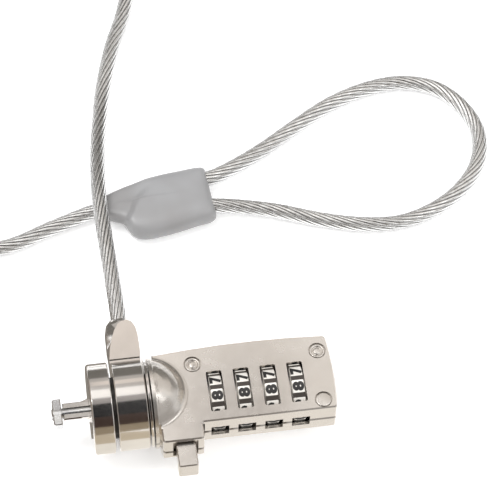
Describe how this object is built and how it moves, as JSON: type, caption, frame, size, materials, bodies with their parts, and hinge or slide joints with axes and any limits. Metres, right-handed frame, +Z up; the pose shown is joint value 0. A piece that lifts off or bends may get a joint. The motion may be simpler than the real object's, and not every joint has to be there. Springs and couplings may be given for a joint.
{
  "type": "combination cable lock",
  "caption": "Laptop cable lock with a T-bar tip, number wheels, a sprung side button, a swivelling cable ring and a wire-rope cable ending in a ferruled loop.",
  "frame": {"origin": "middle of the bare lock seen from above, on the table it rests on", "axes": "+X along the lock from the T-bar tip to the wheels, +Y towards the side the cable leaves, +Z up out of the face with the number slots"},
  "size_m": [0.1859, 0.1686, 0.0212],
  "materials": {
    "satin_nickel": "satin nickel plated zinc casting",
    "polished_nickel": "polished nickel plate",
    "hardened_steel": "ground steel",
    "spring_steel": "spring steel",
    "brass": "turned brass",
    "zinc_alloy": "bare zinc casting",
    "wheel_plating": "satin plated, black filled numbers",
    "wire_rope": "stranded steel under a clear sheath",
    "ferrule_plastic": "moulded grey plastic",
    "tie_rubber": "matt black strap"
  },
  "bodies": {
    "cable": {"cable_ring": "polished_nickel", "cable_stop": "brass", "cable_lead": "wire_rope", "cable_tail": "wire_rope", "cable_loop": "wire_rope", "cable_coil": "wire_rope", "coil_tie": "tie_rubber", "ferrule": "ferrule_plastic"},
    "lock": {"housing_top": "satin_nickel", "housing_bottom": "satin_nickel", "rivet_1": "satin_nickel", "rivet_2": "satin_nickel", "rivet_3": "satin_nickel", "front_ring": "polished_nickel", "spacer_ring": "polished_nickel", "swivel_sleeve": "zinc_alloy", "anti_rotation_prongs": "polished_nickel", "button_spring": "spring_steel", "dial_shaft": "hardened_steel", "shaft_spring": "spring_steel", "click_spring": "spring_steel"},
    "tbar": {"tbar_spindle": "hardened_steel"},
    "button": {"release_button": "satin_nickel", "lock_slide": "hardened_steel"},
    "wheel_1": {"number_wheel_1": "wheel_plating", "code_sleeve_1": "brass"},
    "wheel_2": {"number_wheel_2": "wheel_plating", "code_sleeve_2": "brass"},
    "wheel_3": {"number_wheel_3": "wheel_plating", "code_sleeve_3": "brass"},
    "wheel_4": {"number_wheel_4": "wheel_plating", "code_sleeve_4": "brass"}
  },
  "joints": [
    {"name": "lock_swivel", "type": "hinge", "parent": "cable", "child": "lock", "pos_m": [-0.0145, -0.00215, 0.01058], "axis": [1, 0, 0], "continuous": true},
    {"name": "button_press", "type": "slide", "parent": "lock", "child": "button", "axis": [0, 1, 0], "range_m": [0, 0.003], "stiffness_N_per_m": 150, "springref_m": -0.002},
    {"name": "tbar_turn", "type": "hinge", "parent": "lock", "child": "tbar", "pos_m": [-0.02385, -0.00215, 0.01058], "axis": [-1, 0, 0], "range_deg": [0, 90]},
    {"name": "wheel_1_turn", "type": "hinge", "parent": "lock", "child": "wheel_1", "pos_m": [0.00515, -0.00341, 0.01058], "axis": [1, 0, 0], "continuous": true},
    {"name": "wheel_2_turn", "type": "hinge", "parent": "lock", "child": "wheel_2", "pos_m": [0.01135, -0.00341, 0.01058], "axis": [1, 0, 0], "continuous": true},
    {"name": "wheel_3_turn", "type": "hinge", "parent": "lock", "child": "wheel_3", "pos_m": [0.01755, -0.00341, 0.01058], "axis": [1, 0, 0], "continuous": true},
    {"name": "wheel_4_turn", "type": "hinge", "parent": "lock", "child": "wheel_4", "pos_m": [0.02375, -0.00341, 0.01058], "axis": [1, 0, 0], "continuous": true}
  ],
  "couplings": [
    {"joint": "tbar_turn", "follows": "button_press", "rad_per_m": 523.59}
  ]
}
